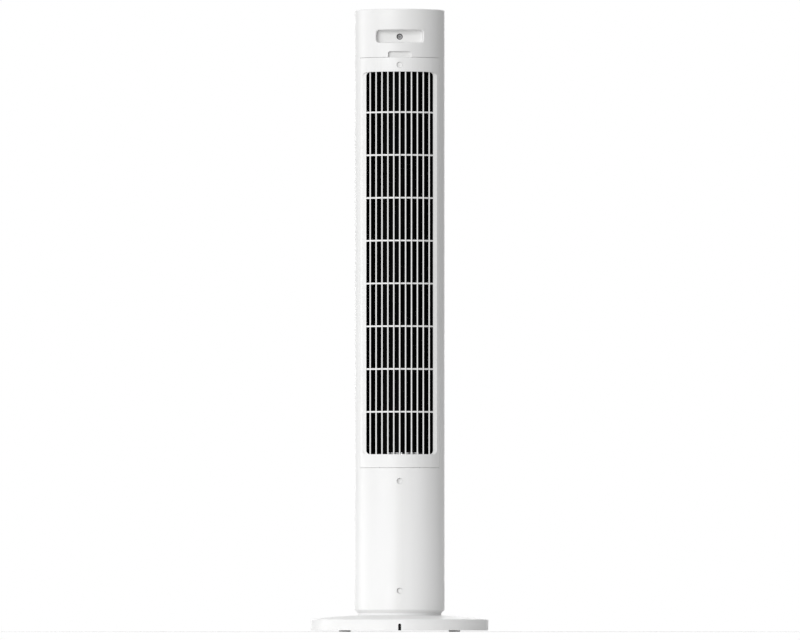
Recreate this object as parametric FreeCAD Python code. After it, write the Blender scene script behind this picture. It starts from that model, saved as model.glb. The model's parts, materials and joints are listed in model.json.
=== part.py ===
import FreeCAD, Part
import math
import os

# Tower fan on a round base: a cross-flow impeller stands in a tall white column,
# and the column turns from side to side on a ball race in the base.
# Millimetres. +Z is up, the origin is on the floor under the column's axis.
# The air inlet, handle and plugs are at the rear (+Y), the air outlet at the front (-Y).

HEIGHT = 1100.0
COLUMN_R = 79.5
WALL = 2.5
INNER_R = COLUMN_R - WALL
BASE_R = 157.0
RIM_LOW = 2.3
RIM_HIGH = 21.9
DOME_TOP = 28.7
WELL_R = 76.0

SHELL_LOW = 33.0
CHAMFER_TOP = 38.9
PANEL_LOW = 289.8
PANEL_HIGH = 1014.2
PANEL_ANGLE = 61.7
PANEL_ROUND = 0.5
PANEL_GAP = 0.6
GRILLE_LOW = 313.3
GRILLE_HIGH = 989.1
GRILLE_HALF = 59.0
GRILLE_CORNER = 7.0
BAR_PITCH = 10.42
BAR_WIDTH = 2.2
CROSSBAR_FIRST = 388.3
CROSSBAR_PITCH = 75.6
CROSSBAR_HEIGHT = 2.7
CROSSBAR_R = 75.0
REAR_BARS = 11
BAR_ARC_R = 71.0
BAR_ARC_Y = 6.0
BAR_DEPTH = 5.0
OUTLET_HALF = 37.0

HANDLE_HALF = 42.4
HANDLE_LOW = 1039.2
HANDLE_HIGH = 1064.0
HANDLE_FLOOR_Y = 56.0
SCREW_WELL_Y = 44.0
SCREW_WELL_R = 5.5
WASHER_THICK = 0.8
HANDLE_Z = 0.5 * (HANDLE_LOW + HANDLE_HIGH)
LIP_ROUND = 1.6
NOTCH_HALF = 20.3
NOTCH_ROUND = 0.6
NOTCH_HIGH = 1024.8
NOTCH_FLOOR_Y = 71.4

PLUG_R = 4.8
PLUG_HOLE_R = 5.0
SHELL_PLUG_SUNK = 4.5
PANEL_PLUG_SUNK = 3.0
PLUG_RIM = 0.3
PLUG_ROUND = 0.35
PANEL_SCREW_Z = 1001.0
PANEL_SCREW_Y = 72.6
SCREW_HEAD = 2.8
MIDDLE_SCREW_Z = 266.0
LOW_SCREW_Z = 72.4

FAN_X = -4.0
FAN_Y = 12.0
IMPELLER_R = 43.0
BLADES = 34
SEGMENTS = 8
SEGMENT_PITCH = 81.0
IMPELLER_LOW = 320.0
IMPELLER_HIGH = IMPELLER_LOW + SEGMENTS * SEGMENT_PITCH
SHAFT_R = 4.0
DECK_LOW = 296.0
TOP_DECK = 992.0

GEAR_MODULE = 1.0
SUN_TEETH = 60
PINION_TEETH = 12
PRESSURE_ANGLE = math.radians(25.0)
PINION_Y = -0.5 * GEAR_MODULE * (SUN_TEETH + PINION_TEETH)
BACKLASH = 0.16
BALL_CIRCLE_R = 56.0
BALL_R = 3.0
BALL_Z = 21.2
BALLS = 16

BUTTON_X = (-36.0, -12.0, 12.0, 36.0)
BUTTON_Y = -22.0
BUTTON_R = 9.0


def V(x, y, z):
    return FreeCAD.Vector(x, y, z)


def disc(r, z0, z1, x=0.0, y=0.0):
    return Part.makeCylinder(r, z1 - z0, V(x, y, z0))


def tube(r_out, r_in, z0, z1, x=0.0, y=0.0):
    return disc(r_out, z0, z1, x, y).cut(disc(r_in, z0 - 1, z1 + 1, x, y))


def rod_y(r, y0, y1, x, z):
    return Part.makeCylinder(r, y1 - y0, V(x, y0, z), V(0, 1, 0))


def box(x0, x1, y0, y1, z0, z1):
    return Part.makeBox(x1 - x0, y1 - y0, z1 - z0, V(x0, y0, z0))


def lathe(points):
    edges = []
    count = len(points)
    for i in range(count):
        r0, z0 = points[i]
        r1, z1 = points[(i + 1) % count]
        edges.append(Part.LineSegment(V(r0, 0, z0), V(r1, 0, z1)).toShape())
    face = Part.Face(Part.Wire(edges))
    return face.revolve(V(0, 0, 0), V(0, 0, 1), 360)


def prism(points, z0, z1):
    corners = [V(x, y, z0) for x, y in points]
    corners.append(corners[0])
    return Part.Face(Part.makePolygon(corners)).extrude(V(0, 0, z1 - z0))


def wedge(angle, reach, z0, z1, toward=90.0):
    """A pie slice about the column's axis, opened by angle to each side."""
    points = [(0.0, 0.0)]
    for k in range(9):
        a = math.radians(toward - angle + k * angle / 4.0)
        points.append((reach * math.cos(a), reach * math.sin(a)))
    return prism(points, z0, z1)


def rounded_window(x_half, z0, z1, radius, y0, y1):
    """A rectangle with round corners, seen from the rear, pushed through from y0 to y1."""
    body = box(-x_half, x_half, y0, y1, z0, z1)
    upright = [e for e in body.Edges if abs(e.tangentAt(e.FirstParameter).y) > 0.99]
    return body.makeFillet(radius, upright)


def turned(shape, angle, x=0.0, y=0.0):
    copy = shape.copy()
    copy.rotate(V(x, y, 0), V(0, 0, 1), angle)
    return copy


def mirrored(shape):
    return shape.mirror(V(0, 0, 0), V(1, 0, 0))


def on_skin(edge):
    """True if the whole edge lies on the column's outer surface."""
    return all(abs(math.hypot(p.x, p.y) - COLUMN_R) < 0.03 for p in edge.discretize(9))


def soften(body, radius, x_half, z0, z1, y0=20.0):
    """Rounds the outer edges that lie in one area of the rear skin."""
    picked = []
    for edge in body.Edges:
        b = edge.BoundBox
        inside = b.ZMin > z0 and b.ZMax < z1 and b.XMin > -x_half and b.XMax < x_half and b.YMin > y0
        if inside and on_skin(edge):
            picked.append(edge)
    return body.makeFillet(radius, picked)


def fuse(shapes):
    return shapes[0].multiFuse(shapes[1:]).removeSplitter()


def export(name, shapes):
    solids = []
    for shape in shapes:
        solids.extend(shape.Solids)
    whole = Part.makeCompound(solids) if len(solids) > 1 else solids[0]
    whole.exportStep("parts/" + name + ".step")


def screw_up(x, y, z_head, z_tip, head_r=3.8, shank_r=1.9, head_h=2.4):
    """A pan-head screw driven upward, with a cross recess in its head."""
    head = disc(head_r, z_head, z_head + head_h, x, y)
    shank = disc(shank_r, z_head + head_h, z_tip, x, y)
    cross = fuse([box(x - 2.0, x + 2.0, y - 0.4, y + 0.4, z_head, z_head + 1.3),
                  box(x - 0.4, x + 0.4, y - 2.0, y + 2.0, z_head, z_head + 1.3)])
    return head.fuse(shank).removeSplitter().cut(cross)


def screw_rear(x, z, y_head, y_tip, head_r=4.0, shank_r=1.9, head_h=SCREW_HEAD):
    """A screw driven toward -Y: y_head is the top of its head."""
    head = rod_y(head_r, y_head - head_h, y_head, x, z)
    shank = rod_y(shank_r, y_tip, y_head - head_h, x, z)
    cross = fuse([box(x - 2.3, x + 2.3, y_head - 1.5, y_head, z - 0.45, z + 0.45),
                  box(x - 0.45, x + 0.45, y_head - 1.5, y_head, z - 2.3, z + 2.3)])
    return head.fuse(shank).removeSplitter().cut(cross)


def gear(teeth, z0, z1, bore_r, first_angle):
    """Involute spur gear about the Z axis with a tooth centred on first_angle."""
    pitch_r = 0.5 * GEAR_MODULE * teeth
    base_r = pitch_r * math.cos(PRESSURE_ANGLE)
    tip_r = pitch_r + 0.95 * GEAR_MODULE
    root_r = pitch_r - 1.25 * GEAR_MODULE
    start_r = max(base_r, root_r) + 0.001
    involute = math.tan(PRESSURE_ANGLE) - PRESSURE_ANGLE
    half = (0.5 * math.pi * GEAR_MODULE - BACKLASH) / (2.0 * pitch_r) + involute
    flank = []
    for k in range(6):
        r = start_r + (tip_r - start_r) * k / 5.0
        roll = math.acos(base_r / r)
        flank.append((r, half - (math.tan(roll) - roll)))
    outline = []
    for n in range(teeth):
        middle = math.radians(first_angle) + n * 2.0 * math.pi / teeth
        outline.append((root_r * math.cos(middle - flank[0][1]),
                        root_r * math.sin(middle - flank[0][1])))
        for r, a in flank:
            outline.append((r * math.cos(middle - a), r * math.sin(middle - a)))
        for r, a in reversed(flank):
            outline.append((r * math.cos(middle + a), r * math.sin(middle + a)))
        outline.append((root_r * math.cos(middle + flank[0][1]),
                        root_r * math.sin(middle + flank[0][1])))
    return prism(outline, z0, z1).cut(disc(bore_r, z0 - 1, z1 + 1))


# ---- base ----

def screw_ring():
    spots = []
    for k in range(6):
        a = math.radians(30.0 + 60.0 * k)
        spots.append((125.0 * math.cos(a), 125.0 * math.sin(a)))
    return spots


def base_cover():
    body = lathe([
        (BASE_R - 0.5, RIM_LOW), (BASE_R, RIM_LOW + 0.5), (BASE_R, RIM_HIGH - 1.4),
        (BASE_R - 0.45, RIM_HIGH - 0.4), (BASE_R - 1.5, RIM_HIGH + 0.2), (152.0, 22.6),
        (138.0, 24.2), (124.0, 25.5), (110.0, 26.7), (96.0, 27.6), (82.0, 28.5),
        (77.2, DOME_TOP), (WELL_R, DOME_TOP - 0.6), (WELL_R, 17.0), (22.0, 17.0),
        (22.0, 14.5), (WELL_R + WALL, 14.5), (WELL_R + WALL, 25.9), (96.0, 25.0),
        (110.0, 24.1), (124.0, 22.9), (138.0, 21.6), (153.5, 19.4),
        (154.5, 18.6), (154.5, RIM_LOW)])
    bosses = [disc(5.5, 8.2, 23.5, x, y) for x, y in screw_ring()]
    body = fuse([body] + bosses)
    body = body.cut(Part.makeCompound([disc(1.9, 8.0, 20.0, x, y) for x, y in screw_ring()]))
    slots = [disc(2.2, 14.0, 18.0, x, y) for x, y in post_screws()]
    body = body.cut(Part.makeCompound(slots))
    notch = box(-2.55, 2.55, 150.0, 160.0, RIM_LOW - 1, 11.85)
    arch = rod_y(2.55, 150.0, 160.0, 0.0, 11.85)
    return body.cut(fuse([notch, arch]))


def post_screws():
    return [(24.0, 0.0), (0.0, 24.0), (-24.0, 0.0), (0.0, -24.0)]


def base_plate():
    body = disc(154.2, RIM_LOW, RIM_LOW + 2.5)
    body = fuse([body] + [disc(7.0, RIM_LOW, 8.1, x, y) for x, y in screw_ring()])
    holes = []
    for x, y in screw_ring():
        holes.append(disc(4.4, RIM_LOW - 1, 5.5, x, y))
        holes.append(disc(2.2, 5.0, 9.0, x, y))
    for x, y in foot_spots():
        holes.append(disc(3.05, RIM_LOW - 1, 6.0, x, y))
    for k in range(3):
        holes.append(box(-30.0, 30.0, 44.0 + 8.0 * k, 47.0 + 8.0 * k, RIM_LOW - 1, 6.0))
    return body.cut(Part.makeCompound(holes))


def foot_spots():
    return [(96.8, 96.8), (-96.8, 96.8), (-96.8, -96.8), (96.8, -96.8)]


def base_foot(x, y):
    pad = disc(9.75, 0.0, RIM_LOW, x, y)
    pad = pad.makeFillet(0.6, [e for e in pad.Edges if e.CenterOfMass.z < 0.01])
    stem = disc(3.0, RIM_LOW, 4.8, x, y)
    head = Part.makeCone(4.4, 2.6, 2.4, V(x, y, 4.8))
    return fuse([pad, stem, head])


def base_screw(x, y):
    return screw_up(x, y, 3.0, 18.0)


def ballast_plate():
    body = tube(114.0, 82.0, 4.9, 17.5)
    body = body.cut(box(-12.0, 12.0, 70.0, 120.0, 4.0, 20.0))
    return body.makeChamfer(0.8, [e for e in body.Edges if e.Length > 200])


def cord_gland():
    flange = box(-8.0, 8.0, 146.0, 152.0, 5.0, 17.0)
    nose = box(-2.45, 2.45, 152.0, 154.8, 5.0, 11.6)
    return fuse([flange, nose]).cut(rod_y(1.9, 140.0, 160.0, 0.0, 9.2))


def pivot_post():
    stem = tube(16.0, 12.0, 17.0, 50.0)
    flange = tube(30.0, 12.0, 17.0, 19.4)
    groove = tube(17.0, 15.0, 46.6, 48.2)
    body = fuse([stem, flange]).cut(groove)
    return body.cut(Part.makeCompound([disc(2.2, 16.0, 20.0, x, y) for x, y in post_screws()]))


def sun_gear():
    body = gear(SUN_TEETH, 19.4, 24.4, 16.0, -90.0)
    return body.cut(Part.makeCompound([disc(1.9, 19.0, 25.0, x, y) for x, y in post_screws()]))


def retaining_ring():
    ring = tube(20.5, 15.0, 46.7, 48.1)
    return ring.cut(box(-2.5, 2.5, 5.0, 25.0, 46.0, 49.0))


def race_groove(z):
    return Part.makeTorus(BALL_CIRCLE_R, BALL_R + 0.15, V(0, 0, z), V(0, 0, 1))


def lower_race():
    return tube(61.0, 51.0, 17.0, 19.6).cut(race_groove(BALL_Z + 0.1))


def upper_race():
    return tube(61.0, 51.0, 22.8, 26.0).cut(race_groove(BALL_Z - 0.1))


def ball_spots():
    spots = []
    for k in range(BALLS):
        a = 2.0 * math.pi * (k + 0.5) / BALLS
        spots.append((BALL_CIRCLE_R * math.cos(a), BALL_CIRCLE_R * math.sin(a)))
    return spots


def bearing_cage():
    ring = tube(60.4, 51.6, 20.5, 21.9)
    pockets = [disc(BALL_R + 0.1, 20.0, 23.0, x, y) for x, y in ball_spots()]
    return ring.cut(Part.makeCompound(pockets))


# ---- column: turntable and shells ----

def swivel_plate():
    floor = disc(73.8, 26.0, 29.0)
    skirt = tube(73.8, 71.3, 22.5, SHELL_LOW)
    hub = disc(21.0, 26.0, 46.2)
    lug = box(-9.0, 9.0, 49.0, 60.6, 29.0, 83.0)
    web = box(-1.5, 1.5, 25.0, 49.0, 29.0, 60.0)
    body = fuse([floor, skirt, hub, lug, web])
    holes = [disc(16.1, 20.0, 50.0), disc(5.0, 20.0, 30.0, 0.0, PINION_Y)]
    holes.append(rod_y(1.9, 45.0, 61.0, 0.0, LOW_SCREW_Z))
    for side in (-1, 1):
        holes.append(disc(2.2, 25.0, 30.0, 45.0 * side, -48.0))
        holes.append(disc(1.9, 25.0, 30.0, 42.0 * side, 34.0))
    return body.cut(Part.makeCompound(holes))


def oscillation_motor():
    can = disc(22.0, 29.0, 46.0, 13.0, -43.5)
    can = can.makeFillet(1.5, [e for e in can.Edges if e.CenterOfMass.z > 45.0])
    ear = box(9.0, 17.0, -68.0, -19.6, 29.0, 30.2)
    return can.fuse(ear).removeSplitter().cut(disc(4.0, 28.0, 37.0, 0.0, PINION_Y))


def swing_pinion():
    wheel = gear(PINION_TEETH, 19.8, 24.2, 1.0, 105.0)
    wheel = wheel.fuse(disc(1.0, 19.8, 24.2)).removeSplitter()
    stem = disc(3.0, 24.2, 36.0)
    whole = wheel.fuse(stem).removeSplitter()
    whole.translate(V(0, PINION_Y, 0))
    return whole


def shell_ring():
    """The whole column skin before it is split into a front and a rear half."""
    top = HEIGHT
    body = lathe([
        (72.0, SHELL_LOW), (74.5, SHELL_LOW), (COLUMN_R, CHAMFER_TOP), (COLUMN_R, top - 1.8),
        (COLUMN_R - 0.24, top - 0.9), (COLUMN_R - 0.9, top - 0.24), (COLUMN_R - 1.8, top),
        (75.2, top), (75.2, top - 4.0), (73.2, top - 4.0), (73.2, top - 6.0), (INNER_R, top - 9.0),
        (INNER_R, 41.2), (72.0, 35.4)])
    return body


def front_shell():
    body = shell_ring().common(box(-90, 90, -90, -0.15, 0, 1200))
    frame = disc(INNER_R + 0.5, GRILLE_LOW - 4, GRILLE_HIGH + 4)
    frame = frame.cut(disc(INNER_R - 2.2, 200, 1100))
    frame = frame.common(box(-OUTLET_HALF - 4, OUTLET_HALF + 4, -90, 0, 200, 1100))
    boss = rod_y(6.0, -INNER_R - 0.3, 40.8, 0.0, HANDLE_Z)
    lip_left = box(73.4, 76.8, -12.0, 6.0, 60.0, 280.0).common(disc(76.8, 0, 1200))
    lip_root = box(73.4, 77.3, -12.0, -0.3, 60.0, 280.0).common(disc(77.3, 0, 1200))
    lip_left = fuse([lip_left, lip_root])
    lugs = [box(39.0, 51.0, -60.0, -42.0, 29.2, 44.0), box(-51.0, -39.0, -60.0, -42.0, 29.2, 44.0)]
    brace = [box(s * 45.0 - 1.2, s * 45.0 + 1.2, -66.0, -50.0, 36.2, 44.0) for s in (-1, 1)]
    lugs = [part.common(disc(71.0, 0, 1200)) for part in lugs]
    brace = [part.common(disc(INNER_R + 0.4, 36, 1200)) for part in brace]
    body = fuse([body, frame, boss, lip_left, mirrored(lip_left)] + lugs + brace)
    window = rounded_window(OUTLET_HALF, GRILLE_LOW, GRILLE_HIGH, 10.0, -90, -30)
    holes = [window, rod_y(1.9, 20.0, 41.0, 0.0, HANDLE_Z)]
    for side in (-1, 1):
        holes.append(disc(1.9, 28.0, 42.0, 45.0 * side, -48.0))
    return body.cut(Part.makeCompound(holes))


def handle_block(grow, y_floor):
    """The handle hollow: it narrows a little toward its floor. grow adds a wall."""
    wires = []
    for y, slim_x, slim_z in ((y_floor, 2.4, 2.0), (84.0, -1.2, 0.7)):
        x1 = HANDLE_HALF - slim_x + grow
        z0 = HANDLE_LOW + slim_z - grow
        z1 = HANDLE_HIGH - slim_z + grow
        face = rounded_window(x1, z0, z1, 5.4 + grow, y, y + 1.0)
        side = [f for f in face.Faces if abs(f.CenterOfMass.y - y) < 0.01][0]
        wires.append(side.OuterWire)
    return Part.makeLoft(wires, True)


def rear_shell():
    half = box(-90, 90, 0.15, 90, 0, 1200)
    body = shell_ring().common(half)
    skin = disc(COLUMN_R - 0.2, 0, 1200)
    handle_wall = handle_block(WALL, HANDLE_FLOOR_Y - WALL).common(skin)
    head_boss = rod_y(8.0, 41.0, HANDLE_FLOOR_Y, 0.0, HANDLE_Z)
    notch_back = box(-NOTCH_HALF - WALL, NOTCH_HALF + WALL, NOTCH_FLOOR_Y - WALL, 79.0,
                     1009.6, NOTCH_HIGH + WALL)
    notch_back = notch_back.common(disc(INNER_R + 0.3, 0, 1200))
    bosses = [rod_y(8.0, 60.8, 78.5, 0.0, z).common(skin) for z in (LOW_SCREW_Z, MIDDLE_SCREW_Z)]
    ledge = tube(INNER_R - 0.2, INNER_R - 2.4, PANEL_LOW - 8.0, PANEL_HIGH + 4.0)
    ledge = ledge.common(wedge(66.0, 120.0, 0, 1200))
    inside = wedge(59.8, 120.0, PANEL_LOW + 8.0, PANEL_HIGH - 7.0)
    ledge = ledge.cut(inside)
    join = tube(INNER_R + 0.3, INNER_R - 0.4, PANEL_LOW - 8.0, PANEL_HIGH + 4.0)
    join = join.common(wedge(66.0, 120.0, 0, 1200))
    join = join.cut(wedge(PANEL_ANGLE + 0.4, 120.0, PANEL_LOW - 0.3, PANEL_HIGH + 0.3))
    body = fuse([body, handle_wall, head_boss, notch_back, ledge, join] + bosses)
    window = disc(90.0, PANEL_LOW - PANEL_GAP, PANEL_HIGH + PANEL_GAP).cut(disc(INNER_R - 0.15, 200, 1100))
    window = window.common(wedge(PANEL_ANGLE + 0.3, 120.0, 200, 1100))
    body = body.cut(window)
    body = body.cut(handle_block(0.0, HANDLE_FLOOR_Y))
    notch = rounded_window(NOTCH_HALF, PANEL_HIGH - 9.0, NOTCH_HIGH, 4.0, NOTCH_FLOOR_Y, 90.0)
    notch = notch.common(box(-40, 40, 60, 100, PANEL_HIGH - 4.0, 1100))
    body = body.cut(notch)
    holes = [rod_y(SCREW_WELL_R, SCREW_WELL_Y, 60.0, 0.0, HANDLE_Z)]
    holes.append(rod_y(2.2, 40.0, SCREW_WELL_Y + 1.0, 0.0, HANDLE_Z))
    for z in (LOW_SCREW_Z, MIDDLE_SCREW_Z):
        holes.append(rod_y(PLUG_HOLE_R, 65.0, 90.0, 0.0, z))
        holes.append(rod_y(2.2, 60.0, 66.0, 0.0, z))
    holes.append(rod_y(8.4, 60.0, 78.0, 0.0, PANEL_SCREW_Z))
    for side in (-1, 1):
        holes.append(box(side * 30.0 - 6.0, side * 30.0 + 6.0, 60.0, 76.0, 282.0, 293.6)
                     .common(disc(INNER_R - 0.12, 0, 1200)))
    holes.append(disc(90.0, 0, 1200).cut(disc(COLUMN_R, 0, 1200)))
    body = body.cut(Part.makeCompound(holes))
    body = soften(body, LIP_ROUND, 45.0, HANDLE_LOW - 3.0, HANDLE_HIGH + 3.0)
    body = soften(body, NOTCH_ROUND, NOTCH_HALF + 0.5, PANEL_HIGH + 0.2, NOTCH_HIGH + 0.5)
    for z in (LOW_SCREW_Z, MIDDLE_SCREW_Z):
        body = soften(body, PLUG_ROUND, 7.0, z - 7.0, z + 7.0)
    return body


def bar_places(pitch, count):
    middle = (count - 1) / 2.0
    return [(k - middle) * pitch for k in range(count)]


def grille_cells(half, pitch, bar, corner, y0, y1, count):
    """The air gaps between the bars, as one compound to cut away."""
    xs = bar_places(pitch, count)
    lefts = [-half] + [x + 0.5 * bar for x in xs]
    rights = [x - 0.5 * bar for x in xs] + [half]
    levels = [CROSSBAR_FIRST + k * CROSSBAR_PITCH for k in range(8)]
    lows = [GRILLE_LOW] + [z + 0.5 * CROSSBAR_HEIGHT for z in levels]
    highs = [z - 0.5 * CROSSBAR_HEIGHT for z in levels] + [GRILLE_HIGH]
    cells = []
    for x0, x1 in zip(lefts, rights):
        for z0, z1 in zip(lows, highs):
            cell = box(x0, x1, y0, y1, z0, z1)
            at_side = x0 < -half + 0.01 or x1 > half - 0.01
            at_end = z0 < GRILLE_LOW + 0.01 or z1 > GRILLE_HIGH - 0.01
            if at_side and at_end:
                cell = cell.common(rounded_window(half, GRILLE_LOW, GRILLE_HIGH, corner, y0, y1))
            cells.append(cell)
    return Part.makeCompound(cells)


def bar_relief():
    """What is cut away to leave flat-faced bars, with the crossbars a little behind them."""
    parts = []
    low = GRILLE_LOW + 0.3
    high = GRILLE_HIGH - 0.3
    for x in bar_places(BAR_PITCH, REAR_BARS):
        edge = abs(x) + 0.5 * BAR_WIDTH
        y_face = BAR_ARC_Y + math.sqrt(BAR_ARC_R ** 2 - edge ** 2)
        parts.append(box(x - 0.5 * BAR_WIDTH, x + 0.5 * BAR_WIDTH, y_face, 90.0, low, high))
        if x > 0.0:
            x0 = x - BAR_PITCH + 0.5 * BAR_WIDTH
            gap = box(x0, x - 0.5 * BAR_WIDTH, 40.0, 90.0, low + 9.0, high - 9.0)
            gap = gap.cut(disc(CROSSBAR_R, 250.0, 1050.0))
            parts.append(gap)
            parts.append(mirrored(gap))
    return Part.makeCompound(parts)


def rear_grille():
    slice_ = wedge(PANEL_ANGLE, 120.0, PANEL_LOW, PANEL_HIGH)
    skin = tube(COLUMN_R, INNER_R, PANEL_LOW, PANEL_HIGH).common(slice_)
    bar_inner = Part.makeCylinder(BAR_ARC_R - BAR_DEPTH, 900, V(0, BAR_ARC_Y, 250))
    block = disc(COLUMN_R, GRILLE_LOW - 2.5, GRILLE_HIGH + 2.5).cut(bar_inner)
    block = block.common(box(-65.2, 65.2, 40.5, 90.0, 200, 1100))
    mount = rod_y(7.5, 70.0, 78.5, 0.0, PANEL_SCREW_Z)
    body = fuse([skin, block, mount])
    bar_outer = Part.makeCylinder(BAR_ARC_R, 900, V(0, BAR_ARC_Y, 250))
    recess = rounded_window(GRILLE_HALF, GRILLE_LOW, GRILLE_HIGH, GRILLE_CORNER, 44.0, 90.0)
    body = body.cut(recess.cut(bar_outer))
    body = body.cut(grille_cells(GRILLE_HALF, BAR_PITCH, BAR_WIDTH, GRILLE_CORNER, 30.0, 90.0, REAR_BARS))
    body = body.cut(bar_relief())
    slope = prism([(50.0, 48.71), (65.9, 44.46), (72.0, 42.8), (72.0, 70.0), (50.0, 70.0)],
                  GRILLE_LOW - 1.0, GRILLE_HIGH + 1.0)
    for shape in (slope, mirrored(slope)):
        strip = rounded_window(65.95, GRILLE_LOW - 0.3, GRILLE_HIGH - 0.4, 8.0, 30.0, 90.0)
        strip = strip.cut(box(-56.5, 56.5, 0, 100, 0, 1200))
        body = body.cut(shape.common(strip))
    holes = [rod_y(PLUG_HOLE_R, PANEL_SCREW_Y, 90.0, 0.0, PANEL_SCREW_Z),
             rod_y(2.2, 69.0, 75.0, 0.0, PANEL_SCREW_Z)]
    body = body.cut(Part.makeCompound(holes))
    tabs = []
    for side in (-1, 1):
        tab = tube(INNER_R - 0.35, INNER_R - 2.2, PANEL_LOW - 6.0, PANEL_LOW + 1.5)
        tab = tab.common(box(side * 30.0 - 5.0, side * 30.0 + 5.0, 40, 90, 200, 400))
        root = tube(INNER_R + 0.2, INNER_R - 2.2, PANEL_LOW + 0.3, PANEL_LOW + 1.5)
        root = root.common(box(side * 30.0 - 5.0, side * 30.0 + 5.0, 40, 90, 200, 400))
        tabs.extend([tab, root])
    body = fuse([body] + tabs)
    body = soften(body, PLUG_ROUND, 7.0, PANEL_SCREW_Z - 7.0, PANEL_SCREW_Z + 7.0)
    outline = []
    for edge in body.Edges:
        b = edge.BoundBox
        at_end = b.ZMax < PANEL_LOW + 0.1 or b.ZMin > PANEL_HIGH - 0.1
        if on_skin(edge) and (at_end or b.XMin > 69.8 or b.XMax < -69.8):
            outline.append(edge)
    return body.makeFillet(PANEL_ROUND, outline)


def front_grille():
    plate = tube(COLUMN_R - 0.2, INNER_R - 2.5, GRILLE_LOW + 0.3, GRILLE_HIGH - 0.3)
    window = rounded_window(OUTLET_HALF - 0.3, GRILLE_LOW + 0.3, GRILLE_HIGH - 0.3, 9.7, -90, -30)
    body = plate.common(window)
    cells = grille_cells(OUTLET_HALF - 3.0, 8.4, 2.4, 7.0, -90.0, -30.0, 7)
    keep = box(-40, 40, -90, -30, GRILLE_LOW + 3.2, GRILLE_HIGH - 3.2)
    return body.cut(cells.common(keep))


def plug(z, y_floor, sunk):
    stem = rod_y(PLUG_R, y_floor, COLUMN_R - sunk, 0.0, z)
    return stem.makeFillet(PLUG_RIM, [e for e in stem.Edges if e.BoundBox.YMin > y_floor + 0.5])


def screw_plugs():
    plugs = [plug(z, 70.0, SHELL_PLUG_SUNK) for z in (MIDDLE_SCREW_Z, LOW_SCREW_Z)]
    plugs.append(plug(PANEL_SCREW_Z, 75.5, PANEL_PLUG_SUNK))
    return plugs


def shell_screws():
    screws = [screw_rear(0.0, HANDLE_Z, SCREW_WELL_Y + WASHER_THICK + SCREW_HEAD, 22.0)]
    for z in (LOW_SCREW_Z, MIDDLE_SCREW_Z):
        screws.append(screw_rear(0.0, z, 67.8, 50.0))
    for side in (-1, 1):
        screws.append(screw_up(45.0 * side, -48.0, 23.6, 40.0))
    return screws


def handle_washer():
    """The fibre washer under the screw at the bottom of the handle's screw well."""
    y1 = SCREW_WELL_Y + WASHER_THICK
    ring = rod_y(SCREW_WELL_R - 0.15, SCREW_WELL_Y, y1, 0.0, HANDLE_Z)
    return ring.cut(rod_y(2.1, SCREW_WELL_Y - 1.0, y1 + 1.0, 0.0, HANDLE_Z))


# ---- column: air duct and drive ----

def motor_deck():
    deck = disc(73.8, DECK_LOW, DECK_LOW + 3.0)
    lug = box(-9.0, 9.0, 49.5, 60.6, MIDDLE_SCREW_Z - 9.0, DECK_LOW)
    ribs = [box(s * 30.0 - 1.2, s * 30.0 + 1.2, 45.0, 62.0, 282.0, DECK_LOW) for s in (-1, 1)]
    bosses = [disc(5.0, 285.0, DECK_LOW, x, y) for x, y in motor_ears()]
    body = fuse([deck, lug] + ribs + bosses)
    holes = [disc(12.0, 290.0, 300.0, FAN_X, FAN_Y)]
    holes.append(rod_y(1.9, 49.0, 61.0, 0.0, MIDDLE_SCREW_Z))
    for x, y in motor_ears():
        holes.append(disc(1.6, 284.0, 295.0, x, y))
    return body.cut(Part.makeCompound(holes))


def motor_ears():
    spots = []
    for angle in (30.0, 150.0, 270.0):
        a = math.radians(angle)
        spots.append((FAN_X + 41.0 * math.cos(a), FAN_Y + 41.0 * math.sin(a)))
    return spots


def motor_housing():
    can = tube(34.0, 32.5, 231.0, 279.0, FAN_X, FAN_Y)
    top = tube(34.0, 8.0, 279.0, 281.0, FAN_X, FAN_Y)
    low = tube(34.0, 8.0, 229.0, 231.0, FAN_X, FAN_Y)
    ears = []
    for x, y in motor_ears():
        ears.append(disc(7.5, 279.0, 281.0, x, y))
    body = fuse([can, top, low] + ears)
    holes = [disc(4.5, 270.0, 290.0, x, y) for x, y in motor_ears()]
    for k in range(8):
        a = math.radians(45.0 * k + 10.0)
        x = FAN_X + 23.0 * math.cos(a)
        y = FAN_Y + 23.0 * math.sin(a)
        holes.append(disc(4.0, 220.0, 290.0, x, y))
    return body.cut(Part.makeCompound(holes))


def motor_stator():
    ring = tube(32.5, 19.0, 240.0, 268.0, FAN_X, FAN_Y)
    slots = []
    for k in range(12):
        slot = box(FAN_X + 20.5, FAN_X + 28.5, FAN_Y - 1.8, FAN_Y + 1.8, 239.0, 269.0)
        neck = box(FAN_X + 18.0, FAN_X + 21.0, FAN_Y - 0.8, FAN_Y + 0.8, 239.0, 269.0)
        slots.append(turned(slot, 30.0 * k, FAN_X, FAN_Y))
        slots.append(turned(neck, 30.0 * k, FAN_X, FAN_Y))
    return ring.cut(Part.makeCompound(slots))


def motor_coils():
    return [tube(29.0, 21.5, 268.0, 275.0, FAN_X, FAN_Y), tube(29.0, 21.5, 233.0, 240.0, FAN_X, FAN_Y)]


def motor_bearings():
    rings = []
    for z in (229.0, 275.0):
        rings.append(tube(8.0, SHAFT_R + 0.05, z, z + 6.0, FAN_X, FAN_Y))
    return rings


def motor_rotor():
    return tube(18.6, SHAFT_R, 240.0, 268.0, FAN_X, FAN_Y)


def motor_grommets():
    rings = []
    for x, y in motor_ears():
        sleeve = tube(4.5, 2.2, 277.0, 283.5, x, y)
        rims = fuse([tube(6.2, 2.2, 277.0, 279.0, x, y), tube(6.2, 2.2, 281.0, 283.5, x, y)])
        rings.append(sleeve.fuse(rims).removeSplitter())
    return rings


def motor_screws():
    return [screw_up(x, y, 273.5, 293.0, 4.2, 1.6, 2.4) for x, y in motor_ears()]


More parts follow.
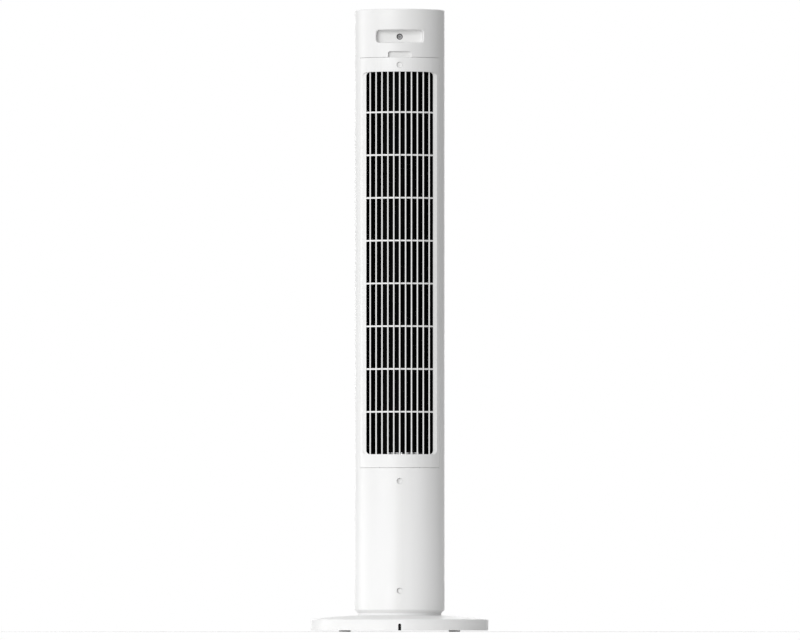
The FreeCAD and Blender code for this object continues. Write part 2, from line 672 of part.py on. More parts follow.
def motor_shaft():
    return disc(SHAFT_R, 226.0, IMPELLER_LOW + 16.0, FAN_X, FAN_Y)


def impeller_hub():
    plate = tube(IMPELLER_R, SHAFT_R, IMPELLER_LOW - 3.0, IMPELLER_LOW, FAN_X, FAN_Y)
    boss = tube(10.0, SHAFT_R, IMPELLER_LOW, IMPELLER_LOW + 16.0, FAN_X, FAN_Y)
    hole = Part.makeCylinder(1.5, 12.0, V(FAN_X, FAN_Y, IMPELLER_LOW + 10.0), V(1, 0, 0))
    return fuse([plate, boss]).cut(hole)


def hub_set_screw():
    return Part.makeCylinder(1.5, 5.0, V(FAN_X + SHAFT_R + 0.1, FAN_Y, IMPELLER_LOW + 10.0), V(1, 0, 0))


def blade_strip():
    """One forward-curved blade of a segment, before it is copied around."""
    inner = V(35.2, 0.0, 0.0)
    a = math.radians(-10.0)
    outer = V(42.6 * math.cos(a), 42.6 * math.sin(a), 0.0)
    chord = outer.sub(inner)
    across = V(-chord.y, chord.x, 0.0).normalize()
    middle = inner.add(outer).multiply(0.5)
    bulge = middle.add(V(across.x * 2.0, across.y * 2.0, 0.0))
    half = V(across.x * 0.55, across.y * 0.55, 0.0)
    side_a = Part.Arc(inner.add(half), bulge.add(half), outer.add(half)).toShape()
    side_b = Part.Arc(inner.sub(half), bulge.sub(half), outer.sub(half)).toShape()
    end_a = Part.LineSegment(inner.add(half), inner.sub(half)).toShape()
    end_b = Part.LineSegment(outer.add(half), outer.sub(half)).toShape()
    wire = Part.Wire(Part.__sortEdges__([side_a, end_a, side_b, end_b]))
    return Part.Face(wire).extrude(V(0, 0, SEGMENT_PITCH - 1.9))


def impeller_segments():
    strip = blade_strip()
    strip.translate(V(0, 0, 1.9))
    blades = [turned(strip, 360.0 * k / BLADES) for k in range(BLADES)]
    ring = tube(IMPELLER_R, 33.0, 0.0, 2.0)
    one = ring.multiFuse(blades)
    segments = []
    for k in range(SEGMENTS):
        copy = turned(one, 2.6 * k)
        copy.translate(V(FAN_X, FAN_Y, IMPELLER_LOW + k * SEGMENT_PITCH))
        segments.append(copy)
    return segments


def impeller_end_disc():
    plate = tube(IMPELLER_R, SHAFT_R, IMPELLER_HIGH, IMPELLER_HIGH + 2.5, FAN_X, FAN_Y)
    boss = tube(9.0, SHAFT_R, IMPELLER_HIGH + 2.5, IMPELLER_HIGH + 7.0, FAN_X, FAN_Y)
    return fuse([plate, boss])


def impeller_end_shaft():
    return disc(SHAFT_R, IMPELLER_HIGH, TOP_DECK - 2.0, FAN_X, FAN_Y)


def top_deck():
    deck = disc(73.8, TOP_DECK, TOP_DECK + 3.0)
    cup = disc(17.0, TOP_DECK - 12.0, TOP_DECK, FAN_X, FAN_Y)
    lug = box(-10.0, 10.0, 57.0, 69.6, TOP_DECK, PANEL_SCREW_Z + 8.0)
    web = box(-1.5, 1.5, 40.0, 57.0, TOP_DECK, PANEL_SCREW_Z + 4.0)
    skirt = tube(46.3, 44.3, IMPELLER_HIGH + 4.0, TOP_DECK, FAN_X, FAN_Y)
    body = fuse([deck, cup, lug, web, skirt])
    notch = box(-12.0, 12.0, 69.7, 80.0, 990.0, 1010.0)
    holes = [disc(14.0, TOP_DECK - 13.0, TOP_DECK - 1.0, FAN_X, FAN_Y), notch]
    holes.append(rod_y(1.9, 56.0, 70.0, 0.0, PANEL_SCREW_Z))
    return body.cut(Part.makeCompound(holes))


def end_bearing_rubber():
    return tube(14.0, 9.0, TOP_DECK - 12.0, TOP_DECK - 1.0, FAN_X, FAN_Y)


def end_bearing_bush():
    return tube(9.0, SHAFT_R + 0.05, TOP_DECK - 12.0, TOP_DECK - 2.5, FAN_X, FAN_Y)


def grille_screw():
    return [screw_rear(0.0, PANEL_SCREW_Z, PANEL_SCREW_Y + SCREW_HEAD, 60.0)]


def curved_wall(points, thickness, z0, z1):
    """A thin upright wall along a smooth line through the points."""
    spline = Part.BSplineCurve()
    spline.interpolate([V(x, y, z0) for x, y in points])
    count = 24
    left = []
    right = []
    for k in range(count + 1):
        u = spline.FirstParameter + (spline.LastParameter - spline.FirstParameter) * k / count
        p = spline.value(u)
        t = spline.tangent(u)[0]
        n = V(-t.y, t.x, 0.0)
        left.append((p.x + n.x * thickness / 2, p.y + n.y * thickness / 2))
        right.append((p.x - n.x * thickness / 2, p.y - n.y * thickness / 2))
    return prism(left + right[::-1], z0, z1)


def scroll_wall():
    points = []
    for k in range(9):
        a = math.radians(28.0 - 11.5 * k)
        r = IMPELLER_R + 4.5 + 0.21 * k * k + 0.6 * k
        points.append((FAN_X + r * math.cos(a), FAN_Y + r * math.sin(a)))
    points.append((32.0, -66.0))
    return curved_wall(points, 2.0, DECK_LOW + 3.0, TOP_DECK)


def tongue_wall():
    points = []
    for k in range(3):
        a = math.radians(192.0 + 9.0 * k)
        r = IMPELLER_R + 4.5
        points.append((FAN_X + r * math.cos(a), FAN_Y + r * math.sin(a)))
    points.append((-40.0, -34.0))
    points.append((-35.0, -63.0))
    return curved_wall(points, 2.0, DECK_LOW + 3.0, TOP_DECK)


# ---- column: electrics and top ----

def power_board():
    board = box(-40.0, 40.0, -32.0, -30.4, 95.0, 180.0)
    holes = [rod_y(2.0, -40.0, -20.0, x, z) for x in (-35.0, 35.0) for z in (100.0, 175.0)]
    return board.cut(Part.makeCompound(holes))


def power_board_parts():
    parts = [box(-30.0, -4.0, -30.4, -8.0, 105.0, 132.0)]
    parts.append(box(6.0, 28.0, -30.4, -16.0, 104.0, 120.0))
    parts.append(Part.makeCylinder(6.0, 18.0, V(12.0, -30.4, 135.0), V(0, 1, 0)))
    parts.append(Part.makeCylinder(4.0, 12.0, V(27.0, -30.4, 135.0), V(0, 1, 0)))
    parts.append(box(-32.0, -14.0, -30.4, -20.0, 140.0, 150.0))
    for k in range(4):
        parts.append(box(-32.0 + 16.0 * k, -22.0 + 16.0 * k, -30.4, -22.4, 163.0, 170.0))
    return parts


def board_carrier():
    plate = box(-46.0, 46.0, -38.0, -36.0, 84.0, 190.0)
    posts = [rod_y(3.6, -36.0, -32.0, x, z) for x in (-35.0, 35.0) for z in (100.0, 175.0)]
    feet = [box(s * 42.0 - 4.0, s * 42.0 + 4.0, -61.0, -38.0, 120.0, 123.0) for s in (-1, 1)]
    return fuse([plate] + posts + feet)


def motor_capacitor():
    can = box(-20.0, 20.0, 20.0, 40.0, 150.0, 185.0)
    return can.makeFillet(3.0, [e for e in can.Edges if e.Length < 36.0 and e.Length > 34.0])


def capacitor_bracket():
    strap = box(-22.0, 22.0, 18.0, 42.0, 160.0, 172.0).cut(box(-20.0, 20.0, 20.0, 40.0, 150.0, 185.0))
    foot = box(-2.0, 2.0, 42.0, 60.0, 164.0, 168.0)
    pad = box(-12.0, 12.0, 60.0, 62.0, 156.0, 176.0)
    return fuse([strap, foot, pad])


def control_board():
    board = disc(58.0, 1078.0, 1079.6)
    board = board.cut(box(-70.0, 70.0, 34.0, 70.0, 1070.0, 1085.0))
    posts = [disc(2.0, 1070.0, 1085.0, x, y) for x, y in board_posts()]
    return board.cut(Part.makeCompound(posts))


def board_posts():
    return [(-44.0, 24.0), (44.0, 24.0), (-44.0, -2.0), (44.0, -2.0)]


def top_cap():
    body = disc(74.9, 1096.0, 1099.2)
    posts = [disc(4.0, 1079.6, 1096.2, x, y) for x, y in board_posts()]
    guides = [tube(12.6, 11.0, 1088.0, 1096.2, x, BUTTON_Y) for x in BUTTON_X]
    body = fuse([body] + posts + guides)
    holes = [disc(BUTTON_R + 0.3, 1090.0, 1100.0, x, BUTTON_Y) for x in BUTTON_X]
    holes.append(box(-22.0, 22.0, 3.0, 17.0, 1098.0, 1100.0))
    holes.append(box(-20.0, 20.0, 5.0, 15.0, 1090.0, 1100.0))
    for x, y in board_posts():
        holes.append(disc(1.2, 1078.0, 1092.0, x, y))
    return body.cut(Part.makeCompound(holes))


def display_window():
    upper = box(-21.8, 21.8, 3.2, 16.8, 1098.0, 1099.2)
    lower = box(-19.8, 19.8, 5.2, 14.8, 1096.2, 1098.0)
    return fuse([upper, lower])


def board_screws():
    return [screw_up(x, y, 1076.0, 1088.0, 3.0, 1.2, 2.0) for x, y in board_posts()]


def tact_switches():
    parts = []
    for x in BUTTON_X:
        body = box(x - 3.0, x + 3.0, BUTTON_Y - 3.0, BUTTON_Y + 3.0, 1079.6, 1083.0)
        parts.append(body.fuse(disc(1.7, 1083.0, 1084.0, x, BUTTON_Y)).removeSplitter())
    return parts


def button(x):
    cap = disc(BUTTON_R, 1094.6, 1099.8, x, BUTTON_Y)
    cap = cap.makeFillet(0.6, [e for e in cap.Edges if e.CenterOfMass.z > 1099.0])
    collar = disc(10.6, 1093.4, 1095.2, x, BUTTON_Y)
    stem = disc(3.0, 1085.2, 1093.4, x, BUTTON_Y)
    return fuse([cap, collar, stem])


def main():
    os.makedirs("parts", exist_ok=True)
    export("base_cover", [base_cover()])
    export("base_plate", [base_plate()])
    export("ballast_plate", [ballast_plate()])
    export("base_feet", [base_foot(x, y) for x, y in foot_spots()])
    export("base_screws", [base_screw(x, y) for x, y in screw_ring()])
    export("cord_gland", [cord_gland()])
    export("pivot_post", [pivot_post()])
    export("pivot_screws", [screw_up(x, y, 12.1, 23.0) for x, y in post_screws()])
    export("sun_gear", [sun_gear()])
    export("retaining_ring", [retaining_ring()])
    export("lower_race", [lower_race()])
    export("bearing_cage", [bearing_cage()])
    export("bearing_balls", [Part.makeSphere(BALL_R, V(x, y, BALL_Z)) for x, y in ball_spots()])
    export("upper_race", [upper_race()])
    export("swivel_plate", [swivel_plate()])
    export("oscillation_motor", [oscillation_motor()])
    export("swing_pinion", [swing_pinion()])
    export("front_shell", [front_shell()])
    export("rear_shell", [rear_shell()])
    export("rear_grille", [rear_grille()])
    export("front_grille", [front_grille()])
    export("screw_plugs", screw_plugs())
    export("shell_screws", shell_screws())
    export("handle_washer", [handle_washer()])
    export("grille_screw", grille_screw())
    export("motor_deck", [motor_deck()])
    export("motor_housing", [motor_housing()])
    export("motor_stator", [motor_stator()])
    export("motor_coils", motor_coils())
    export("motor_bearings", motor_bearings())
    export("motor_grommets", motor_grommets())
    export("motor_screws", motor_screws())
    export("motor_rotor", [motor_rotor()])
    export("motor_shaft", [motor_shaft()])
    export("impeller_hub", [impeller_hub()])
    export("hub_set_screw", [hub_set_screw()])
    export("impeller_segments", impeller_segments())
    export("impeller_end_disc", [impeller_end_disc()])
    export("impeller_end_shaft", [impeller_end_shaft()])
    export("top_deck", [top_deck()])
    export("end_bearing_rubber", [end_bearing_rubber()])
    export("end_bearing_bush", [end_bearing_bush()])
    export("scroll_wall", [scroll_wall()])
    export("tongue_wall", [tongue_wall()])
    export("board_carrier", [board_carrier()])
    export("power_board", [power_board()])
    export("power_board_parts", power_board_parts())
    export("motor_capacitor", [motor_capacitor()])
    export("capacitor_bracket", [capacitor_bracket()])
    export("control_board", [control_board()])
    export("board_screws", board_screws())
    export("tact_switches", tact_switches())
    export("top_cap", [top_cap()])
    export("display_window", [display_window()])
    names = ("power_button", "speed_button", "swing_button", "timer_button")
    for name, x in zip(names, BUTTON_X):
        export(name, [button(x)])


main()
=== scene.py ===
import json
import math

import bpy
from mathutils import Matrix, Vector

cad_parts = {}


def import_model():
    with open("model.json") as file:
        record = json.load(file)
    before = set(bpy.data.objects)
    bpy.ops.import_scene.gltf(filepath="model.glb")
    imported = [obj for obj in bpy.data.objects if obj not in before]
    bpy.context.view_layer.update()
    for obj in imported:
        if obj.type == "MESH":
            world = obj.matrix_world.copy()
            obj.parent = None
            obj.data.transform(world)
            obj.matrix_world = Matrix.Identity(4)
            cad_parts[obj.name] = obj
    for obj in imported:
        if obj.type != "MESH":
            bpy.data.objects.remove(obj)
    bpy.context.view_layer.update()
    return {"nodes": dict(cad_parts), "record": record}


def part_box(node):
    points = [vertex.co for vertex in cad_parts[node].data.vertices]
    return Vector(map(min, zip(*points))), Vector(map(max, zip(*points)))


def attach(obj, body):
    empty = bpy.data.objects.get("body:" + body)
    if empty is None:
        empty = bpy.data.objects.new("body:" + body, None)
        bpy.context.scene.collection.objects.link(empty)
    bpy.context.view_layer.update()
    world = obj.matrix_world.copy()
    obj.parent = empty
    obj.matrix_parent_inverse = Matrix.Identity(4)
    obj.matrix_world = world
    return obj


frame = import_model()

# The looks of a white tower fan, seen from the rear. Metres, +Z up, rear of the fan toward +Y.

# ---- materials ----

# Perlin noise rarely leaves this stretch of its 0 to 1 range.
NOISE_LOW = 0.3
NOISE_HIGH = 0.7
# Pointiness from where an edge starts to take its lighter edge colour to where it is fully so: on plastic
# a painted edge highlight, on metal rubbed wear.
PLASTIC_EDGE = (0.53, 0.62)
METAL_EDGE = (0.53, 0.64)
PLASTIC_GRAIN = 1400.0
FINE_RELIEF = 0.00003
BLACK = (0.002, 0.002, 0.002)
BLACK_GLOSS = 0.04
SHELL_SKIN = 0.0023
# Painted duct shade: how far it blends in across the shell's inner face and at its top and bottom ends.
DUCT_SHADE_BLEND = 0.0002
DUCT_SHADE_END = 0.001


class Shader:
    """A material's node tree with short calls for the nodes that every finish here uses."""

    def __init__(self, name):
        self.material = bpy.data.materials.new(name)
        self.material.use_nodes = True
        self.nodes = self.material.node_tree.nodes
        self.links = self.material.node_tree.links
        self.surface = self.nodes["Principled BSDF"]
        self.place = self.nodes.new("ShaderNodeTexCoord").outputs["Object"]

    def set(self, **values):
        for name, value in values.items():
            self.surface.inputs[name.replace("_", " ")].default_value = value

    def noise(self, scale, detail=3.0, stretch=(1.0, 1.0, 1.0)):
        """Noise with the given number of grains per metre."""
        mapping = self.nodes.new("ShaderNodeMapping")
        mapping.inputs["Scale"].default_value = stretch
        self.links.new(self.place, mapping.inputs["Vector"])
        node = self.nodes.new("ShaderNodeTexNoise")
        node.inputs["Scale"].default_value = scale
        node.inputs["Detail"].default_value = detail
        self.links.new(mapping.outputs["Vector"], node.inputs["Vector"])
        return node.outputs["Fac"]

    def remap(self, value, start, end, low, high):
        """Moves a value from start to end onto low to high, and holds it there."""
        node = self.nodes.new("ShaderNodeMapRange")
        for socket, number in (("From Min", start), ("From Max", end), ("To Min", low), ("To Max", high)):
            node.inputs[socket].default_value = number
        self.links.new(value, node.inputs["Value"])
        return node.outputs["Result"]

    def spread(self, noise, low, high):
        """Spreads noise over low to high."""
        return self.remap(noise, NOISE_LOW, NOISE_HIGH, low, high)

    def within(self, value, start, full):
        """From 0 where the value is at start to 1 where it is at full."""
        return self.remap(value, start, full, 0.0, 1.0)

    def times(self, first, second):
        node = self.nodes.new("ShaderNodeMath")
        node.operation = "MULTIPLY"
        self.links.new(first, node.inputs[0])
        self.links.new(second, node.inputs[1])
        return node.outputs["Value"]

    def reach(self, vector):
        """The length of a vector."""
        node = self.nodes.new("ShaderNodeVectorMath")
        node.operation = "LENGTH"
        self.links.new(vector, node.inputs[0])
        return node.outputs["Value"]

    def mix(self, factor, first, second):
        """A colour between first and second, each a colour or a socket."""
        node = self.nodes.new("ShaderNodeMix")
        node.data_type = "RGBA"
        self.links.new(factor, node.inputs["Factor"])
        for socket, colour in ((node.inputs[6], first), (node.inputs[7], second)):
            if isinstance(colour, tuple):
                socket.default_value = (*colour, 1.0)
            else:
                self.links.new(colour, socket)
        return node.outputs[2]

    def edges(self, start, full):
        """From 0 on a flat or hollow place to 1 on an outer edge."""
        geometry = self.nodes.new("ShaderNodeNewGeometry")
        return self.within(geometry.outputs["Pointiness"], start, full)

    def bump(self, height, strength, distance):
        node = self.nodes.new("ShaderNodeBump")
        node.inputs["Strength"].default_value = strength
        node.inputs["Distance"].default_value = distance
        self.links.new(height, node.inputs["Height"])
        self.links.new(node.outputs["Normal"], self.surface.inputs["Normal"])

    def colour(self, socket):
        self.links.new(socket, self.surface.inputs["Base Color"])

    def roughness(self, socket):
        self.links.new(socket, self.surface.inputs["Roughness"])


def moulded_plastic(name, colour, tint, edge_highlight, rough):
    """Injection-moulded plastic: a faint cloud of tint, fine spark-eroded grain, and a painted highlight
    that lightens the outer edges.
    """
    shader = Shader(name)
    cloud = shader.spread(shader.noise(9.0, 2.0), 0.0, 1.0)
    body = shader.mix(cloud, colour, tint)
    # Lighter outer edges: a painted highlight.
    shader.colour(shader.mix(shader.edges(*PLASTIC_EDGE), body, edge_highlight))
    shader.roughness(shader.spread(shader.noise(45.0, 4.0), rough - 0.05, rough + 0.05))
    shader.bump(shader.noise(PLASTIC_GRAIN, 2.0), 0.25, FINE_RELIEF)
    return shader


def paint_duct_shade(shader, radius, low, high):
    """Paints shade: blackens the inner face of a shell, inside the radius, over the height of the air
    duct, and dims its gloss there.
    """
    flat = shader.nodes.new("ShaderNodeVectorMath")
    flat.operation = "MULTIPLY"
    flat.inputs[1].default_value = (1.0, 1.0, 0.0)
    shader.links.new(shader.place, flat.inputs[0])
    split = shader.nodes.new("ShaderNodeSeparateXYZ")
    shader.links.new(shader.place, split.inputs["Vector"])
    height = split.outputs["Z"]
    inner = shader.within(shader.reach(flat.outputs["Vector"]), radius, radius - DUCT_SHADE_BLEND)
    above = shader.within(height, low, low + DUCT_SHADE_END)
    below = shader.within(height, high, high - DUCT_SHADE_END)
    # Where shade is painted black on the shell's inside.
    duct_shade_mask = shader.times(inner, shader.times(above, below))
    plain = shader.surface.inputs["Base Color"].links[0].from_socket
    shader.colour(shader.mix(duct_shade_mask, plain, BLACK))
    gloss = shader.remap(duct_shade_mask, 0.0, 1.0, 0.5, BLACK_GLOSS)
    shader.links.new(gloss, shader.surface.inputs["Specular IOR Level"])
    return shader


def rubber(name, colour, tint):
    shader = Shader(name)
    dusty = shader.spread(shader.noise(130.0, 5.0), 0.0, 1.0)
    shader.colour(shader.mix(dusty, colour, tint))
    shader.roughness(shader.spread(shader.noise(60.0), 0.72, 0.9))
    shader.bump(shader.noise(900.0, 3.0), 0.4, 0.00008)
    return shader


def metal(name, colour, tint, rough, stretch=(1.0, 1.0, 1.0), grain=500.0):
    """Bare metal with fine marks drawn out along the axis that stretch makes slow."""
    shader = Shader(name)
    shader.set(Metallic=1.0)
    marks = shader.noise(grain, 4.0, stretch)
    body = shader.mix(shader.spread(shader.noise(70.0, 4.0), 0.0, 1.0), colour, tint)
    bright = tuple(min(1.0, 1.4 * part + 0.08) for part in colour)
    shader.colour(shader.mix(shader.edges(*METAL_EDGE), body, bright))
    shader.roughness(shader.spread(marks, rough - 0.07, rough + 0.09))
    shader.bump(marks, 0.2, FINE_RELIEF)
    return shader


def circuit_board(name):
    shader = Shader(name)
    weave = shader.spread(shader.noise(700.0, 1.0), 0.0, 1.0)
    shader.colour(shader.mix(weave, (0.03, 0.15, 0.06), (0.05, 0.22, 0.09)))
    shader.roughness(shader.spread(shader.noise(120.0), 0.3, 0.45))
    shader.bump(shader.noise(700.0, 1.0), 0.2, 0.00004)
    return shader


def white_plastic(name):
    return moulded_plastic(name, (0.86, 0.86, 0.855), (0.84, 0.84, 0.835), (0.9, 0.9, 0.9), 0.42)


def finishes():
    button = moulded_plastic("button_plastic", (0.62, 0.62, 0.61), (0.58, 0.58, 0.57),
                             (0.7, 0.7, 0.69), 0.5)
    display = moulded_plastic("display_plastic", (0.012, 0.012, 0.014), (0.016, 0.016, 0.018),
                              (0.05, 0.05, 0.05), 0.14)
    black = moulded_plastic("black_plastic", BLACK, (0.003, 0.003, 0.003), (0.006, 0.006, 0.006), 0.75)
    black.set(Specular_IOR_Level=BLACK_GLOSS)
    nylon = moulded_plastic("white_nylon", (0.74, 0.72, 0.66), (0.7, 0.68, 0.62), (0.8, 0.79, 0.75), 0.5)
    parts = moulded_plastic("board_parts", (0.03, 0.03, 0.035), (0.05, 0.05, 0.05),
                            (0.1, 0.1, 0.1), 0.5)
    case = moulded_plastic("capacitor_case", (0.1, 0.1, 0.11), (0.13, 0.13, 0.13),
                           (0.2, 0.2, 0.2), 0.4)
    return {
        "white_plastic": white_plastic("white_plastic"),
        "button_plastic": button,
        "display_plastic": display,
        "black_plastic": black,
        "white_nylon": nylon,
        "board_parts": parts,
        "capacitor_case": case,
        "foot_rubber": rubber("foot_rubber", (0.9, 0.9, 0.89), (0.95, 0.95, 0.94)),
        "black_rubber": rubber("black_rubber", (0.008, 0.008, 0.008), (0.015, 0.015, 0.015)),
        "screw_steel": metal("screw_steel", (0.25, 0.25, 0.255), (0.2, 0.2, 0.2), 0.36),
        "zinc_steel": metal("zinc_steel", (0.55, 0.56, 0.56), (0.47, 0.48, 0.47), 0.4),
        "bearing_steel": metal("bearing_steel", (0.62, 0.62, 0.63), (0.58, 0.58, 0.6), 0.15),
        "core_steel": metal("core_steel", (0.16, 0.15, 0.15), (0.2, 0.16, 0.13), 0.5,
                            (0.05, 0.05, 1.0), 1500.0),
        "copper_coil": metal("copper_coil", (0.6, 0.25, 0.11), (0.45, 0.17, 0.07), 0.3,
                             (0.1, 0.1, 1.0), 2200.0),
        "bearing_bronze": metal("bearing_bronze", (0.55, 0.38, 0.18), (0.4, 0.28, 0.13), 0.45),
        "ballast_steel": metal("ballast_steel", (0.1, 0.1, 0.1), (0.14, 0.12, 0.11), 0.6),
        "circuit_board": circuit_board("circuit_board"),
    }


def paint_nodes():
    """Gives every CAD node the finish of its slot, paints shade inside the front and rear shells over the
    duct, and returns the finishes.
    """
    made = finishes()
    slots = {part["node"]: part["material_slot"] for part in frame["record"]["subparts"]}
    for name, node in frame["nodes"].items():
        node.data.materials.clear()
        node.data.materials.append(made[slots[name]].material)
    # The shells' inner faces get painted shade, black over the air duct's height.
    duct_low, duct_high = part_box("scroll_wall")
    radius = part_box("rear_shell")[1][0] - SHELL_SKIN
    shell = paint_duct_shade(white_plastic("duct_shaded_shell"), radius, duct_low[2], duct_high[2])
    for name in ("front_shell", "rear_shell"):
        frame["nodes"][name].data.materials[0] = shell.material
    return made


# ---- button icons ----

ICON_R = 0.0034
ICON_LINE = 0.0007
ICON_RAISED = 0.00012
ICON_SUNK = 0.00004
ARROW_TIP = 0.0013


def arc(radius, start, end, count=28):
    """Points on a circle about (0, 0), angles in degrees."""
    angles = [math.radians(start + (end - start) * k / count) for k in range(count + 1)]
    return [(radius * math.cos(a), radius * math.sin(a)) for a in angles]


def unit(start, end):
    """The direction from start to end, of length 1."""
    dx = end[0] - start[0]
    dy = end[1] - start[1]
    size = math.hypot(dx, dy)
    return (dx / size, dy / size)


def ribbon(points, low, high):
    """Corners and faces of a raised line of ICON_LINE width along the points."""
    corners = []
    for k, (x, y) in enumerate(points):
        back = unit(points[k - 1], points[k]) if k else unit(points[0], points[1])
        ahead = unit(points[k], points[k + 1]) if k < len(points) - 1 else back
        turn = 1.0 + back[0] * ahead[0] + back[1] * ahead[1]
        nx = -(back[1] + ahead[1]) / turn
        ny = (back[0] + ahead[0]) / turn
        for side, z in ((0.5, low), (-0.5, low), (-0.5, high), (0.5, high)):
            corners.append((x + side * ICON_LINE * nx, y + side * ICON_LINE * ny, z))
    faces = [(0, 1, 2, 3)]
    for k in range(len(points) - 1):
        a = 4 * k
        for i in range(4):
            j = (i + 1) % 4
            faces.append((a + j, a + i, a + 4 + i, a + 4 + j))
    end = 4 * (len(points) - 1)
    faces.append((end + 3, end + 2, end + 1, end))
    return corners, faces


def icon(button, paths, made):
    """Raised lines printed on the top of a button, read from the fan's front."""
    low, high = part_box(button)
    middle = (0.5 * (low[0] + high[0]), 0.5 * (low[1] + high[1]))
    corners = []
    faces = []
    for path in paths:
        more, sides = ribbon([(middle[0] + x, middle[1] + y) for x, y in path],
                             high[2] - ICON_SUNK, high[2] + ICON_RAISED)
        faces += [tuple(len(corners) + k for k in face) for face in sides]
        corners += more
    mesh = bpy.data.meshes.new(button + "_icon")
    mesh.from_pydata(corners, [], faces)
    obj = bpy.data.objects.new(button + "_icon", mesh)
    bpy.context.scene.collection.objects.link(obj)
    mesh.materials.append(made["display_plastic"].material)
    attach(obj, button)


def icons(made):
    r = ICON_R
    tip = ARROW_TIP
    swing = [(x, y + 0.7 * r) for x, y in arc(1.2 * r, 215.0, 325.0)]
    left = swing[0]
    right = swing[-1]
    left_tip = [(left[0] - tip, left[1] - tip), left, (left[0] + tip, left[1] - 0.2 * tip)]
    right_tip = [(right[0] + tip, right[1] - tip), right, (right[0] - tip, right[1] - 0.2 * tip)]
    bars = [[(k * 0.6 * r, -r), (k * 0.6 * r, (k * 0.5 + 0.1) * r)] for k in (-1, 0, 1)]
    icon("power_button", [arc(r, 125.0, 415.0), [(0.0, 0.2 * r), (0.0, 1.25 * r)]], made)
    icon("speed_button", bars, made)
    icon("swing_button", [swing, left_tip, right_tip, [(0.0, -r), (0.0, 0.9 * r)]], made)
    icon("timer_button", [arc(r, 0.0, 360.0, 36), [(0.0, 0.6 * r), (0.0, 0.0), (0.45 * r, 0.0)]], made)


# ---- stage ----

FLOOR_RADIUS = 1.5
FLOOR_FADE = 0.5
FLOOR_CORNERS = 96


def floor():
    """A pale floor disc that fades out into the white backdrop at its rim."""
    rings = (0.5 * FLOOR_FADE, FLOOR_FADE, 0.5 * (FLOOR_FADE + FLOOR_RADIUS), FLOOR_RADIUS)
    corners = FLOOR_CORNERS
    points = [(0.0, 0.0, 0.0)]
    faces = []
    for r in rings:
        for k in range(corners):
            a = 2.0 * math.pi * k / corners
            points.append((r * math.cos(a), r * math.sin(a), 0.0))
    for k in range(corners):
        faces.append((0, 1 + k, 1 + (k + 1) % corners))
    for ring in range(len(rings) - 1):
        low = 1 + ring * corners
        high = low + corners
        for k in range(corners):
            n = (k + 1) % corners
            faces.append((low + k, high + k, high + n, low + n))
    mesh = bpy.data.meshes.new("floor")
    mesh.from_pydata(points, [], faces)
    obj = bpy.data.objects.new("floor", mesh)
    bpy.context.scene.collection.objects.link(obj)
    shader = Shader("floor")
    shader.colour(shader.mix(shader.noise(3.0), (0.93, 0.93, 0.93), (0.91, 0.91, 0.91)))
    shader.roughness(shader.spread(shader.noise(8.0), 0.75, 0.9))
    shader.set(Specular_IOR_Level=0.2)
    fade = shader.remap(shader.reach(shader.place), FLOOR_FADE, FLOOR_RADIUS, 1.0, 0.0)
    fade.node.interpolation_type = "SMOOTHSTEP"
    shader.links.new(fade, shader.surface.inputs["Alpha"])
    obj.data.materials.append(shader.material)


BACKDROP = 1.0
AMBIENT = 0.385


def world():
    """A white backdrop for the eye, and a dimmer even light for the object."""
    scene = bpy.context.scene
    scene.world = bpy.data.worlds.new("studio")
    scene.world.use_nodes = True
    nodes = scene.world.node_tree.nodes
    links = scene.world.node_tree.links
    light = nodes["Background"]
    seen = nodes.new("ShaderNodeBackground")
    for node, strength in ((light, AMBIENT), (seen, BACKDROP)):
        node.inputs["Color"].default_value = (1.0, 1.0, 1.0, 1.0)
        node.inputs["Strength"].default_value = strength
    path = nodes.new("ShaderNodeLightPath")
    mix = nodes.new("ShaderNodeMixShader")
    links.new(path.outputs["Is Camera Ray"], mix.inputs["Fac"])
    links.new(light.outputs["Background"], mix.inputs[1])
    links.new(seen.outputs["Background"], mix.inputs[2])
    links.new(mix.outputs["Shader"], nodes["World Output"].inputs["Surface"])


FAN_MIDDLE = (0.0, 0.0, 0.55)
LIGHT_DISTANCE = 5.5
SOFTBOX_SIZE = (1.6, 3.2)
OVERHEAD_PLACE = (0.0, 0.5, 4.5)
OVERHEAD_SIZE = (2.5, 2.5)
OVERHEAD_POWER = 30.0

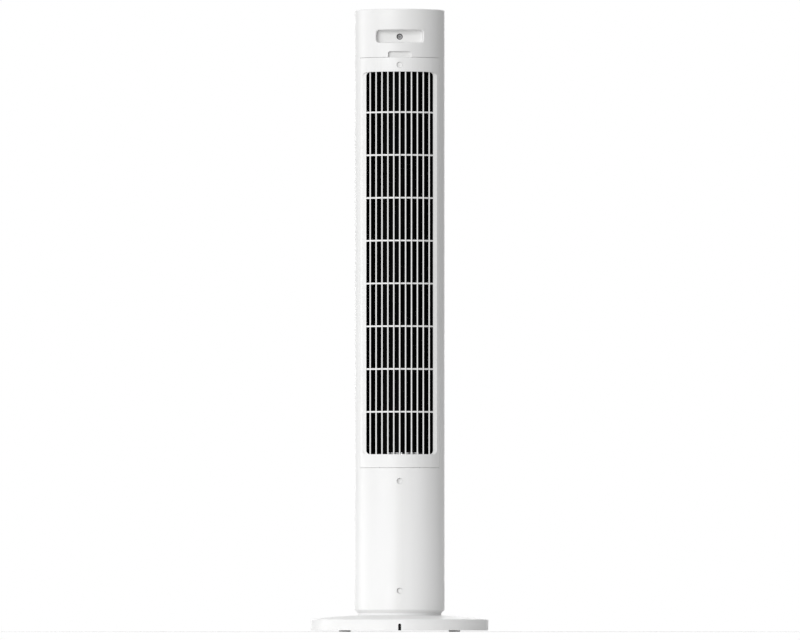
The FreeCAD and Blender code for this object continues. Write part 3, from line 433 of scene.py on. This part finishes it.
# Softboxes in a ring around the fan: degrees from behind the camera toward the picture's left,
# height in metres, and watts.
SOFTBOXES = (
    ("key_inner", 15.0, 1.8, 66.0), ("key_middle", 30.0, 1.8, 76.0), ("key_outer", 46.0, 1.8, 38.0),
    ("rim_left", 112.0, 0.9, 66.0), ("front_left", 166.0, 1.6, 45.0), ("front_right", -170.0, 1.6, 45.0),
)


def softbox(name, place, size, power):
    """A soft light that faces the middle of the fan."""
    data = bpy.data.lights.new(name, "AREA")
    data.shape = "RECTANGLE"
    data.size, data.size_y = size
    data.energy = power
    obj = bpy.data.objects.new(name, data)
    obj.location = place
    obj.rotation_euler = (Vector(FAN_MIDDLE) - Vector(place)).to_track_quat("-Z", "Y").to_euler()
    obj.visible_camera = False
    bpy.context.scene.collection.objects.link(obj)


def lights():
    for name, degrees, height, power in SOFTBOXES:
        a = math.radians(degrees)
        place = (LIGHT_DISTANCE * math.sin(a), LIGHT_DISTANCE * math.cos(a), height)
        softbox(name, place, SOFTBOX_SIZE, power)
    softbox("overhead", OVERHEAD_PLACE, OVERHEAD_SIZE, OVERHEAD_POWER)


# The camera's width of view at the fan, and its place and aim, in metres. Sensor in millimetres.
CAMERA_DISTANCE = 27.26
CAMERA_HEIGHT = 0.012
AIM_HEIGHT = 0.5517
AIM_SIDE = -0.0006
PICTURE_WIDTH = 1.416
SENSOR = 36.0


def camera():
    """A long lens level with the base, behind the fan."""
    data = bpy.data.cameras.new("camera")
    data.sensor_width = SENSOR
    data.lens = SENSOR * CAMERA_DISTANCE / PICTURE_WIDTH
    data.clip_end = 100.0
    obj = bpy.data.objects.new("camera", data)
    obj.location = (AIM_SIDE, CAMERA_DISTANCE, CAMERA_HEIGHT)
    aim = Vector((AIM_SIDE, 0.0, AIM_HEIGHT))
    obj.rotation_euler = (aim - obj.location).to_track_quat("-Z", "Y").to_euler()
    bpy.context.scene.collection.objects.link(obj)
    bpy.context.scene.camera = obj


icons(paint_nodes())
floor()
world()
lights()
camera()
bpy.context.scene.view_settings.view_transform = "Standard"
